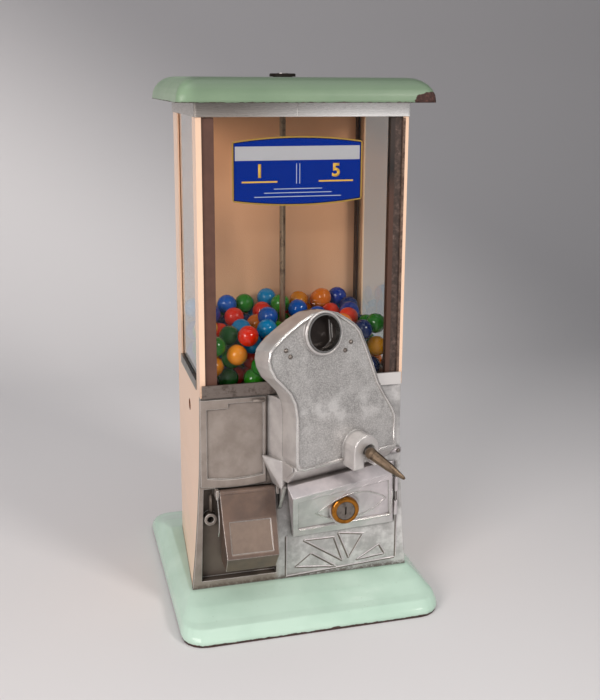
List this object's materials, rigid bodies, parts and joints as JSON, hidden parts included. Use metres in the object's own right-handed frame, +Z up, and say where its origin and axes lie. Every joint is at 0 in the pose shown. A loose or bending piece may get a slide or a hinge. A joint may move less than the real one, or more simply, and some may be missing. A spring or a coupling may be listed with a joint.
{
  "type": "gumball vending machine",
  "caption": "Counter-top coin vending machine: glazed sheet cabinet of gumballs on a domed base, cast front with leaning coin housing, crank handle, delivery flap, cash door and lift-off lid.",
  "frame": {"origin": "centre of the base's resting plane, on its underside", "axes": "+Z up, the front with the coin housing faces -Y, +X to the right seen from the front"},
  "size_m": [0.2004, 0.2241, 0.4067],
  "materials": {
    "mint_enamel": "glossy porcelain enamel",
    "peach_enamel": "satin enamel",
    "cast_aluminium": "cast, polished by hand and use",
    "dull_casting": "cast, dull and stained",
    "rolled_steel": "rolled, brushed",
    "galvanised": "zinc coated sheet",
    "rusty_channel": "rusted sheet",
    "clear_glass": "clear float glass",
    "printed_film": "printed transfer film",
    "machined_steel": "turned steel",
    "lever_bronze": "dark worn bronze",
    "lock_brass": "polished brass",
    "lock_black": "black lacquered",
    "bearing_bronze": "turned bronze",
    "gum_coating": "glossy sugar shell"
  },
  "bodies": {
    "machine": {"ball_guard": "galvanised", "base_pan": "mint_enamel", "cabinet_shell": "peach_enamel", "cash_box": "galvanised", "coin_entry_ring": "rolled_steel", "coin_housing": "cast_aluminium", "coin_slide": "galvanised", "cornice_band": "rolled_steel", "delivery_chute": "galvanised", "door_hinge_pin": "machined_steel", "flap_hinge_pin": "machined_steel", "front_casting": "dull_casting", "front_channel_left": "rusty_channel", "front_channel_right": "rusty_channel", "front_glass": "clear_glass", "glass_label": "printed_film", "gumballs": "gum_coating", "handle_bush": "bearing_bronze", "hopper_pan": "galvanised", "left_glass": "clear_glass", "rear_bearing_bracket": "cast_aluminium", "right_glass": "clear_glass", "rod_nut": "machined_steel", "rod_strap": "galvanised", "side_rail_left": "galvanised", "side_rail_right": "galvanised", "tie_rod": "galvanised", "wheel_plate": "galvanised", "window_sill": "galvanised"},
    "handle": {"handle_lever": "lever_bronze", "handle_shaft": "machined_steel", "coin_wheel": "machined_steel", "drive_pinion": "machined_steel"},
    "gum_wheel": {"gum_wheel": "cast_aluminium", "crown_gear": "machined_steel"},
    "flap": {"chute_flap": "dull_casting"},
    "cash_door": {"cash_door": "cast_aluminium", "cash_lock_barrel": "lock_brass"},
    "cash_lock": {"cash_lock_plug": "machined_steel", "cash_lock_cam": "machined_steel"},
    "lid": {"lid": "mint_enamel", "lid_lock_barrel": "lock_black"},
    "lid_lock": {"lid_lock_plug": "machined_steel", "lid_lock_cam": "machined_steel"}
  },
  "joints": [
    {"name": "handle_turn", "type": "hinge", "parent": "machine", "child": "handle", "pos_m": [0.03611, -0.08002, 0.1335], "axis": [0.309, -0.9511, 0], "continuous": true},
    {"name": "gum_wheel_turn", "type": "hinge", "parent": "machine", "child": "gum_wheel", "pos_m": [0, 0.005, 0.155], "axis": [0, 0, 1], "continuous": true},
    {"name": "flap_lift", "type": "hinge", "parent": "machine", "child": "flap", "pos_m": [-0.044, -0.06355, 0.0985], "axis": [-1, 0, 0], "range_deg": [0, 65]},
    {"name": "cash_door_swing", "type": "hinge", "parent": "machine", "child": "cash_door", "pos_m": [0.0756, -0.06225, 0.085], "axis": [0, 0, 1], "range_deg": [0, 100]},
    {"name": "cash_lock_turn", "type": "hinge", "parent": "cash_door", "child": "cash_lock", "pos_m": [0.0294, -0.079, 0.0807], "axis": [0, -1, 0], "range_deg": [0, 90]},
    {"name": "lid_lift", "type": "slide", "parent": "machine", "child": "lid", "axis": [0, 0, 1], "range_m": [0, 0.05]},
    {"name": "lid_lock_turn", "type": "hinge", "parent": "lid", "child": "lid_lock", "pos_m": [0, 0.005, 0.4], "axis": [0, 0, 1], "range_deg": [0, 90]}
  ],
  "couplings": [
    {"joint": "gum_wheel_turn", "follows": "handle_turn", "ratio": -0.2}
  ]
}
